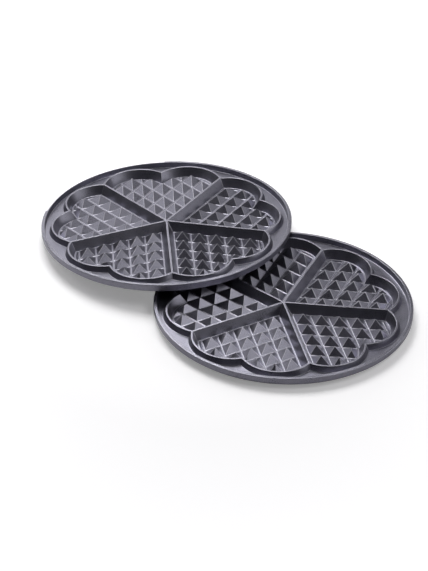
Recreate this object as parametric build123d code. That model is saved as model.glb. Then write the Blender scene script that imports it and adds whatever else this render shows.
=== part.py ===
from build123d import *
import os
from math import asin, cos, degrees, radians, sin, sqrt, tan

# A pair of round waffle plates, two copies of one aluminium die casting.
# Each bakes five heart-shaped waffles, joined at the points.
# The lower plate lies on the table and the upper one leans on its rim.
# Millimetres, +Z up. The origin is on the table, on the axis of the lower plate.

# Driving dimensions of the casting
rim_radius = 115.0
plate_height = 11.0
heart_count = 5
lobe_centre_radius = 71.7
lobe_half_angle = 18.0
rib_centre_radius = 33.3
rib_top_width = 1.5
pocket_depth = 8.5
straight_wall_run = 4.55
lobe_wall_run = 4.4
core_radius = 80.0
land_depth = 5.2
rib_outer_run = 2.2

# Driving dimensions of the baking pattern
pattern_start = 5.75
pattern_pitch = 15.15
channel_width = 1.3
pyramid_top_depth = 1.9
pyramid_rows = 6

# Driving dimensions of the rim and the underside
lip_inner_radius = 112.2
lip_draft_run = 0.8
lip_step_radius = 113.5
lip_step = 0.25
lip_chamfer = 0.4
skirt_depth = 5.7
shoulder_radius = 112.5
shoulder_depth = 8.0
pan_radius = 107.5
seat_radius = 106.0
relief_start = 88.0
relief_end = 164.0
relief_inner_radius = 112.6
relief_top_depth = 0.4
relief_outer_depth = 3.6
seat_groove_radius = 62.0
seat_groove_width = 7.0
seat_groove_depth = 0.8
ejector_mark_radius = 4.0
ejector_mark_depth = 0.3
ejector_mark_circle = 96.0
latch_notch_width = 14.0

# Driving dimensions of the upper plate's place
lean_azimuth = 119.5
lean_overlap = 43.5
upper_spin = -8.5
rest_gap = 0.15

# Worked out from them
half_rib = rib_top_width / 2
half_sector = 180.0 / heart_count
heart_turn = 360.0 / heart_count
first_heart = 90.0
wall_foot = half_rib + straight_wall_run
lobe_x = lobe_centre_radius * cos(radians(lobe_half_angle))
lobe_y = lobe_centre_radius * sin(radians(lobe_half_angle))
cut_over = 0.5


def cone_between(radius_top, run, depth, top, bottom):
    """A cone of radius_top at height 0 that gains run at -depth, from top down to bottom."""
    slope = run / depth
    radius_at = lambda height: radius_top - slope * height
    cone = Cone(radius_at(bottom), radius_at(top), top - bottom)
    return Pos(0, 0, (top + bottom) / 2) * cone


def lobe_places(heart_azimuth):
    """The two lobe centres of the heart that points along heart_azimuth."""
    for side in (-lobe_half_angle, lobe_half_angle):
        yield Rot(0, 0, heart_azimuth + side) * Pos(lobe_centre_radius, 0, 0)


def revolved(corners, start=0.0, arc=360.0):
    """A ring of the given (radius, height) corners, from the azimuth start on."""
    profile = Plane.XZ * make_face(Polyline(*corners, close=True))
    return Rot(0, 0, start) * revolve(profile, Axis.Z, arc)


def rim_and_pan():
    """The turned body: lip, skirt, locating shoulder, land and flat seat."""
    return revolved([
        (0, -plate_height),
        (seat_radius, -plate_height),
        (pan_radius, -shoulder_depth),
        (shoulder_radius, -shoulder_depth),
        (shoulder_radius, -skirt_depth),
        (rim_radius, -skirt_depth),
        (rim_radius, -lip_step - lip_chamfer),
        (rim_radius - lip_chamfer, -lip_step),
        (lip_step_radius, -lip_step),
        (lip_step_radius - lip_step, 0),
        (lip_inner_radius, 0),
        (lip_inner_radius - lip_draft_run, -land_depth),
        (0, -land_depth),
    ])


def raised_middle():
    """The ten-lobed block that the hearts are sunk into, with drafted sides."""
    block = Pos(0, 0, -land_depth / 2) * Cylinder(core_radius, land_depth)
    lobe = cone_between(rib_centre_radius + half_rib, rib_outer_run, land_depth, 0, -shoulder_depth)
    for index in range(heart_count):
        for place in lobe_places(first_heart + index * heart_turn):
            block += place * lobe
    return block


def drafted_wedge():
    """The space between two straight walls, wider at the top, along +X from the centre."""
    reach = rim_radius
    slope = straight_wall_run / pocket_depth
    sections = []
    for height in (-pocket_depth, cut_over):
        offset = half_rib - slope * height
        point_x = offset / sin(radians(half_sector))
        side_y = (reach - point_x) * tan(radians(half_sector))
        corners = [(point_x, 0), (reach, -side_y), (reach, side_y)]
        sections.append(Plane.XY.offset(height) * make_face(Polyline(*corners, close=True)))
    return loft(sections, ruled=True)


def heart_space():
    """One heart-shaped pocket along +X, before its pattern."""
    lobe = cone_between(
        rib_centre_radius - half_rib, -lobe_wall_run, pocket_depth, cut_over, -pocket_depth
    )
    height = pocket_depth + cut_over
    inner = Pos(lobe_x / 2, 0, cut_over - height / 2) * Box(lobe_x, 2 * rim_radius, height)
    for place in lobe_places(0):
        inner += place * lobe
    return drafted_wedge() & inner


def baking_pyramid():
    """A pyramid on a rhombus whose sides run along the heart's two straight walls."""
    width = pattern_pitch - channel_width
    half_long = width / 2 / sin(radians(half_sector))
    half_short = width / 2 / cos(radians(half_sector))
    corners = [(half_long, 0), (0, half_short), (-half_long, 0), (0, -half_short)]
    base = [Vector(x, y, -pocket_depth) for x, y in corners]
    top = Vector(0, 0, -pyramid_top_depth)
    faces = [make_face(Polyline(*base, close=True))]
    for here, after in zip(base, base[1:] + base[:1]):
        faces.append(make_face(Polyline(here, after, top, close=True)))
    return Solid(Shell([item.face() for item in faces]))


def pattern_centres():
    """Centres of the pyramids that meet the pocket, in a lattice along both walls."""
    for row in range(pyramid_rows):
        for column in range(pyramid_rows):
            from_right = pattern_start + pattern_pitch * (row + 0.5)
            from_left = pattern_start + pattern_pitch * (column + 0.5)
            x = (from_right + from_left) / 2 / sin(radians(half_sector))
            y = (from_right - from_left) / 2 / cos(radians(half_sector))
            yield x, y


def near_lobes(x, y):
    """True for a pyramid that reaches into the floor of the heart along +X."""
    reach = rib_centre_radius + pattern_pitch / 2
    return x < lobe_x or (x - lobe_x) ** 2 + (abs(y) - lobe_y) ** 2 < reach ** 2


def pattern_limit():
    """The space that the pyramids keep to, so that a channel runs along the lobe walls."""
    gap = channel_width
    rise = (pattern_pitch - channel_width) / 2 * pocket_depth / (pocket_depth - pyramid_top_depth)
    lobe_foot = rib_centre_radius - half_rib - lobe_wall_run
    top = cut_over - pyramid_top_depth
    bottom = -pocket_depth - cut_over
    lobe = cone_between(lobe_foot - gap - rise, rise, pocket_depth, top, bottom)
    height = top - bottom
    limit = Pos(lobe_x / 2, 0, bottom + height / 2) * Box(lobe_x, 2 * rim_radius, height)
    for place in lobe_places(0):
        limit += place * lobe
    notch_x = lobe_x + sqrt(lobe_foot ** 2 - lobe_y ** 2)
    between = Polyline((lobe_x, -lobe_y), (notch_x, 0), (lobe_x, lobe_y), close=True)
    limit += Pos(0, 0, bottom) * extrude(make_face(between), height)
    round_notch = cone_between(gap + rise, -rise, pocket_depth, top, -pocket_depth)
    return limit - Pos(notch_x, 0, 0) * round_notch


def heart_pocket():
    """One heart-shaped pocket along +X with the pyramids left standing in it."""
    pyramid = baking_pyramid()
    limit = pattern_limit()
    standing = [Pos(x, y, 0) * pyramid & limit for x, y in pattern_centres() if near_lobes(x, y)]
    return heart_space() - standing


def hinge_relief():
    """The bevelled stretch of the lip on the hinge side."""
    outside = rim_radius + cut_over
    corners = [
        (relief_inner_radius, cut_over),
        (relief_inner_radius, -relief_top_depth),
        (outside, -relief_outer_depth),
        (outside, cut_over),
    ]
    return revolved(corners, relief_start, relief_end - relief_start)


def seat_groove():
    """The ring-shaped groove in the seat, over the heating element's ridge."""
    half_width = seat_groove_width / 2
    return revolved([
        (seat_groove_radius - half_width, -plate_height - cut_over),
        (seat_groove_radius + half_width, -plate_height - cut_over),
        (seat_groove_radius + half_width, -plate_height + seat_groove_depth),
        (seat_groove_radius - half_width, -plate_height + seat_groove_depth),
    ])


def ejector_marks():
    """Shallow round marks in the seat, one under each straight wall's end."""
    depth = ejector_mark_depth + cut_over
    mark = Cylinder(ejector_mark_radius, depth)
    height = -plate_height + ejector_mark_depth - depth / 2
    angles = [first_heart + half_sector + index * heart_turn for index in range(heart_count)]
    return [Rot(0, 0, angle) * Pos(ejector_mark_circle, 0, height) * mark for angle in angles]


def latch_notches():
    """Two notches in the shoulder, for the latches that hold the plate in its housing."""
    radial = shoulder_radius - pan_radius + 2 * cut_over
    height = shoulder_depth - skirt_depth + cut_over
    notch = Box(radial, latch_notch_width, height)
    middle_z = -shoulder_depth - cut_over + height / 2
    across = (relief_start + relief_end) / 2
    radius = pan_radius - cut_over + radial / 2
    return [Rot(0, 0, across + turn) * Pos(radius, 0, middle_z) * notch for turn in (0, 180)]


def waffle_plate():
    """The whole casting. Its rib tops are at height 0 and its axis is the Z axis."""
    plate = rim_and_pan() + raised_middle()
    pocket = heart_pocket()
    plate -= [Rot(0, 0, first_heart + index * heart_turn) * pocket for index in range(heart_count)]
    plate -= hinge_relief()
    plate -= seat_groove()
    plate -= ejector_marks()
    plate -= latch_notches()
    return plate


def upper_place():
    """Where the upper plate lies: far edge on the table, underside on the lower plate's rim."""
    lean = degrees(asin(plate_height / (seat_radius + lean_overlap)))
    lip_crest = lip_step_radius - lip_step
    rim_point = Pos(0, 0, plate_height + rest_gap) * Rot(0, 0, lean_azimuth) * Pos(lip_crest, 0, 0)
    tipped = rim_point * Rot(0, lean, 0) * Pos(lean_overlap, 0, plate_height)
    return tipped * Rot(0, 0, upper_spin - lean_azimuth)


plate = waffle_plate()
places = {"lower_waffle_plate": Pos(0, 0, plate_height), "upper_waffle_plate": upper_place()}

os.makedirs("parts", exist_ok=True)
for name, place in places.items():
    export_step(place * plate, f"parts/{name}.step")
    print(name, place)
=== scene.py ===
from math import radians

import bmesh
import bpy
import numpy as np
from mathutils import Matrix, Vector


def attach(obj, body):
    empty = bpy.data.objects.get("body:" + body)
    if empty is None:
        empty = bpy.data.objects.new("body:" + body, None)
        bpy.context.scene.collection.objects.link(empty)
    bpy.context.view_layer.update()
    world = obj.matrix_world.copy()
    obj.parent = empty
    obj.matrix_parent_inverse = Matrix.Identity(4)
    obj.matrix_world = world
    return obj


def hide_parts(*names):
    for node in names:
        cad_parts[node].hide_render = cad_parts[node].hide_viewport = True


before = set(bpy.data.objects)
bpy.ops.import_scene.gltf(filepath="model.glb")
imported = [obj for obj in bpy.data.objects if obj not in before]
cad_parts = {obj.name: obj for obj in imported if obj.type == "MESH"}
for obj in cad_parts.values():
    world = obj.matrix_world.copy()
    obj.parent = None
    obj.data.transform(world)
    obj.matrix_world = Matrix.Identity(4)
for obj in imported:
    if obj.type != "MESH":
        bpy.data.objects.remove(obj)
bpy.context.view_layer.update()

# Waffle plates
# Two aluminium die castings from one mould. The lower one lies on the table and the upper one
# leans loose on its rim. PTFE non-stick paint is sprayed on the bead-blasted castings and baked:
# a satin, bluish charcoal film with metal flake, dull head on, bright at a graze. Along the edges
# the film is painted paler. This is partly wear and partly a painted highlight for bright edge
# lines.
MM = 0.001
coating_dark = "#575660"
coating_light = "#83828d"
# The edge colours are partly wear and partly a painted highlight, much paler than the film.
rubbed_and_highlight_dark = "#a09fa9"
rubbed_and_highlight_light = "#bcbbc5"
flake_share = 0.9
smoothest = 0.29
roughest = 0.36
cloud_size = 20.0 * MM
cloud_detail = 4.0
cloud_weight = 1.2
cloud_and_grit_dark = 0.35
cloud_and_grit_light = 1.0
# The real grit is finer than a pixel, so it is drawn coarser, at a size that shows.
grit_size = 0.8 * MM
grit_detail = 2.0
grit_height = 0.06 * MM
grit_strength = 0.7
noise_low = 0.3
noise_high = 0.7


def linear(hex_colour):
    """The linear RGBA of an sRGB hex colour.

    A channel of at most 0.04045 is divided by 12.92. A higher one gains 0.055, is divided by
    1.055 and is raised to the power 2.4.
    """
    channels = np.array([int(hex_colour[i:i + 2], 16) for i in (1, 3, 5)]) / 255
    curved = np.where(channels <= 0.04045, channels / 12.92, ((channels + 0.055) / 1.055) ** 2.4)
    return (*curved.tolist(), 1.0)


def add_node(tree, kind, settings=None, values=None, links=None):
    """Adds one node: settings are its properties, values and links belong to its inputs."""
    node = tree.nodes.new(kind)
    for key, value in (settings or {}).items():
        setattr(node, key, value)
    for key, value in (values or {}).items():
        node.inputs[key].default_value = value
    for key, source in (links or {}).items():
        tree.links.new(source, node.inputs[key])
    return node


def nonstick_coating(name, dark, light):
    """A satin film with metal flake, mottled from dark to light.

    Cloud and grit are noise, each of its own size. The mottle is cloud_weight times the cloud,
    plus the grit stretched between noise_low and noise_high. Roughness goes with the cloud,
    from smoothest to roughest, and the bump with the grit.
    """
    material = bpy.data.materials.new(name)
    material.use_nodes = True
    tree = material.node_tree
    shader = tree.nodes["Principled BSDF"]
    shader.inputs["Metallic"].default_value = flake_share
    place = add_node(tree, "ShaderNodeTexCoord").outputs["Object"]
    grit = add_node(
        tree, "ShaderNodeTexNoise",
        values={"Scale": 1 / grit_size, "Detail": grit_detail}, links={"Vector": place},
    ).outputs["Fac"]
    cloud = add_node(
        tree, "ShaderNodeTexNoise",
        values={"Scale": 1 / cloud_size, "Detail": cloud_detail}, links={"Vector": place},
    ).outputs["Fac"]
    speck = add_node(
        tree, "ShaderNodeMapRange",
        values={"From Min": noise_low, "From Max": noise_high}, links={"Value": grit},
    ).outputs["Result"]
    mottle = add_node(
        tree, "ShaderNodeMath", {"operation": "MULTIPLY_ADD"},
        values={1: cloud_weight}, links={0: cloud, 2: speck},
    ).outputs[0]
    tone = add_node(tree, "ShaderNodeValToRGB", links={"Fac": mottle})
    darkest, lightest = tone.color_ramp.elements
    darkest.position = cloud_and_grit_dark
    darkest.color = linear(dark)
    lightest.position = cloud_and_grit_light
    lightest.color = linear(light)
    rough = add_node(
        tree, "ShaderNodeMapRange",
        values={
            "From Min": noise_low, "From Max": noise_high, "To Min": smoothest, "To Max": roughest
        },
        links={"Value": cloud},
    )
    bump = add_node(
        tree, "ShaderNodeBump",
        values={"Strength": grit_strength, "Distance": grit_height}, links={"Height": grit},
    )
    tree.links.new(tone.outputs["Color"], shader.inputs["Base Color"])
    tree.links.new(rough.outputs["Result"], shader.inputs["Roughness"])
    tree.links.new(bump.outputs["Normal"], shader.inputs["Normal"])
    return material


coating = nonstick_coating("ptfe_nonstick_on_cast_aluminium", coating_dark, coating_light)
# The second finish is the paler edge colour: wear together with a painted highlight.
rubbed_and_highlight = nonstick_coating("ptfe_nonstick_rubbed_and_painted_highlight_on_edges", rubbed_and_highlight_dark, rubbed_and_highlight_light)
finishes = (coating, rubbed_and_highlight)

# The solids' edges are sharp. The castings' are eased, by less where a face is narrow. Faces
# with many corners are cut first, because the easing shades them unevenly when they are whole.
weld_distance = 0.002 * MM
flat_limit = 0.4
edge_limit = 18.0
edge_width = 0.3 * MM
edge_segments = 2
narrow_share = 0.17
fewest_corners_cut = 5
large_face_weight = 60


def edge_easing(skin):
    """How much of edge_width each edge is eased by, from 0 to 1.

    An edge counts where its two faces turn by more than edge_limit. It gets the whole width,
    or narrow_share of its narrower face, whose mean width is twice its area over its outline.
    """
    edge_of_loop = np.empty(len(skin.loops), np.int32)
    skin.loops.foreach_get("edge_index", edge_of_loop)
    sides = np.empty(len(skin.polygons), np.int32)
    skin.polygons.foreach_get("loop_total", sides)
    area = np.empty(len(skin.polygons))
    skin.polygons.foreach_get("area", area)
    normal = np.empty(3 * len(skin.polygons))
    skin.polygons.foreach_get("normal", normal)
    normal = normal.reshape(-1, 3)
    corner = np.empty(3 * len(skin.vertices))
    skin.vertices.foreach_get("co", corner)
    ends = np.empty(2 * len(skin.edges), np.int32)
    skin.edges.foreach_get("vertices", ends)
    first, last = corner.reshape(-1, 3)[ends.reshape(-1, 2)].transpose(1, 0, 2)
    length = np.linalg.norm(first - last, axis=1)
    face_of_loop = np.repeat(np.arange(len(sides)), sides)
    outline = np.bincount(face_of_loop, length[edge_of_loop])
    face_width = 2 * area / outline
    left, right = face_of_loop[np.argsort(edge_of_loop, kind="stable")].reshape(-1, 2).T
    turned = (normal[left] * normal[right]).sum(1) < np.cos(np.radians(edge_limit))
    narrower = np.minimum(face_width[left], face_width[right])
    return np.where(turned, np.minimum(1, narrow_share * narrower / edge_width), 0)


for name, body in (("lower_waffle_plate", "lower_plate"), ("upper_waffle_plate", "upper_plate")):
    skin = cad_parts[name].data.copy()
    skin.name = name + "_coated"
    work = bmesh.new()
    work.from_mesh(skin)
    bmesh.ops.remove_doubles(work, verts=work.verts, dist=weld_distance)
    bmesh.ops.dissolve_limit(
        work, angle_limit=radians(flat_limit), verts=work.verts, edges=work.edges
    )
    work.to_mesh(skin)
    work.free()
    skin.polygons.foreach_set("use_smooth", np.ones(len(skin.polygons), bool))
    weights = skin.attributes.new("bevel_weight_edge", "FLOAT", "EDGE")
    weights.data.foreach_set("value", edge_easing(skin).astype(np.float32))
    skin.materials.clear()
    for finish in finishes:
        skin.materials.append(finish)
    plate = bpy.data.objects.new(name + "_coated", skin)
    bpy.context.collection.objects.link(plate)
    cutting = plate.modifiers.new("many_cornered_faces_cut", "TRIANGULATE")
    cutting.min_vertices = fewest_corners_cut
    easing = plate.modifiers.new("eased_edges", "BEVEL")
    easing.width = edge_width
    easing.segments = edge_segments
    easing.limit_method = "WEIGHT"
    easing.use_clamp_overlap = False
    # The eased edges get the paler finish, partly wear and partly a painted highlight.
    easing.material = finishes.index(rubbed_and_highlight)
    evening = plate.modifiers.new("even_shading", "WEIGHTED_NORMAL")
    evening.weight = large_face_weight
    evening.keep_sharp = True
    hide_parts(name)
    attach(plate, body)

# Camera
# A long studio lens on a tripod, about 2.4 m off, looking down on the pair from the front, a
# little to the left. Angles are in degrees, lens and film in millimetres, as Blender has them.
look_at = Vector((-54.9, 36.5, 11.0)) * MM
camera_distance = 2362.0 * MM
camera_azimuth = -103.4
camera_elevation = 34.2
camera_roll = 1.6
lens = 167.0
film_height = 36.0
far_limit = 20.0


def facing_view(azimuth, elevation, distance, roll=0.0):
    """The place of a thing that faces look_at from this direction and distance.

    It faces straight down at first. It is rolled about its own axis, tipped to the elevation,
    swung round to the azimuth, and moved back along its axis from look_at.
    """
    rolled = Matrix.Rotation(radians(roll), 4, "Z")
    tipped = Matrix.Rotation(radians(90 - elevation), 4, "X")
    swung = Matrix.Rotation(radians(azimuth + 90), 4, "Z")
    moved_back = Matrix.Translation((0, 0, distance))
    return Matrix.Translation(look_at) @ swung @ tipped @ rolled @ moved_back


camera = bpy.data.objects.new("camera", bpy.data.cameras.new("camera"))
bpy.context.collection.objects.link(camera)
camera.matrix_world = facing_view(camera_azimuth, camera_elevation, camera_distance, camera_roll)
camera.data.lens = lens
camera.data.sensor_fit = "VERTICAL"
camera.data.sensor_height = film_height
camera.data.clip_end = far_limit
bpy.context.scene.camera = camera

# Table
# A plain studio table top, painted matt white and far larger than the view. To the camera alone
# it also glows, faintly by the plates, where it shows their shadow, and up to white far off.
table_half = 4.0
table_white = "#f5f4f5"
table_roughness = 0.6
glow_white = "#ffffff"
near_glow = 0.26
fade_start = 0.2
fade_end = 0.95

corners = [(x, y, 0) for x, y in ((-1, -1), (1, -1), (1, 1), (-1, 1))]
table_mesh = bpy.data.meshes.new("table_top")
table_mesh.from_pydata(table_half * np.array(corners), [], [(0, 1, 2, 3)])
table = bpy.data.objects.new("table_top", table_mesh)
bpy.context.collection.objects.link(table)
table_paint = bpy.data.materials.new("matt_white_table")
table_paint.use_nodes = True
paint_tree = table_paint.node_tree
table_shader = paint_tree.nodes["Principled BSDF"]
table_shader.inputs["Base Color"].default_value = linear(table_white)
table_shader.inputs["Roughness"].default_value = table_roughness
table_shader.inputs["Emission Color"].default_value = linear(glow_white)
spot = add_node(paint_tree, "ShaderNodeTexCoord").outputs["Object"]
far = add_node(
    paint_tree, "ShaderNodeVectorMath", {"operation": "DISTANCE"},
    values={1: look_at}, links={0: spot},
).outputs["Value"]
fade = add_node(
    paint_tree, "ShaderNodeMapRange",
    values={"From Min": fade_start, "From Max": fade_end, "To Min": near_glow},
    links={"Value": far},
).outputs["Result"]
seen = add_node(paint_tree, "ShaderNodeLightPath").outputs["Is Camera Ray"]
glow = add_node(
    paint_tree, "ShaderNodeMath", {"operation": "MULTIPLY"}, links={0: seen, 1: fade}
).outputs[0]
paint_tree.links.new(glow, table_shader.inputs["Emission Strength"])
table_mesh.materials.append(table_paint)

# Studio light
# Seven soft boxes on stands round the table, each a plain white diffuser that faces the plates.
# The high one behind is what the level surfaces mirror. Two small ones stand closer.

# Azimuth and elevation in degrees, distance, width and height in metres, radiance in W/m2/sr.
soft_boxes = {
    "back_high_box": (95.0, 56.0, 1.3, (0.7, 0.7), 8.0),
    "back_low_box": (85.0, 16.0, 1.3, (1.3, 0.5), 0.7),
    "back_near_box": (95.0, 30.0, 0.75, (0.4, 0.3), 0.7),
    "back_left_box": (141.0, 32.0, 0.7, (0.35, 0.35), 1.5),
    "right_low_box": (343.0, 14.0, 1.3, (1.1, 0.65), 1.35),
    "front_right_box": (325.0, 54.0, 1.3, (0.6, 0.6), 2.4),
    "right_box": (17.0, 26.0, 1.3, (0.6, 0.5), 0.9),
}

for name, (azimuth, elevation, distance, (width, height), radiance) in soft_boxes.items():
    lamp = bpy.data.objects.new(name, bpy.data.lights.new(name, "AREA"))
    bpy.context.collection.objects.link(lamp)
    lamp.matrix_world = facing_view(azimuth, elevation, distance)
    lamp.data.shape = "RECTANGLE"
    lamp.data.size = width
    lamp.data.size_y = height
    lamp.data.energy = radiance * np.pi * width * height

# Studio room
# Dark walls a long way off, which give the plates a faint cool fill and leave their steep
# faces dark. To the camera alone the room is white paper.
room_colour = (0.85, 0.85, 1, 1)
room_strength = 0.04
paper_colour = (1, 1, 1, 1)
paper_strength = 1.0

world = bpy.data.worlds.new("studio_room")
bpy.context.scene.world = world
world.use_nodes = True
room_tree = world.node_tree
room = room_tree.nodes["Background"]
room.inputs["Color"].default_value = room_colour
room.inputs["Strength"].default_value = room_strength
paper = add_node(
    room_tree, "ShaderNodeBackground", values={"Color": paper_colour, "Strength": paper_strength}
)
camera_ray = add_node(room_tree, "ShaderNodeLightPath").outputs["Is Camera Ray"]
shown = add_node(
    room_tree, "ShaderNodeMixShader",
    links={0: camera_ray, 1: room.outputs[0], 2: paper.outputs[0]},
)
room_tree.links.new(shown.outputs[0], room_tree.nodes["World Output"].inputs["Surface"])

bpy.context.scene.view_settings.view_transform = "Standard"
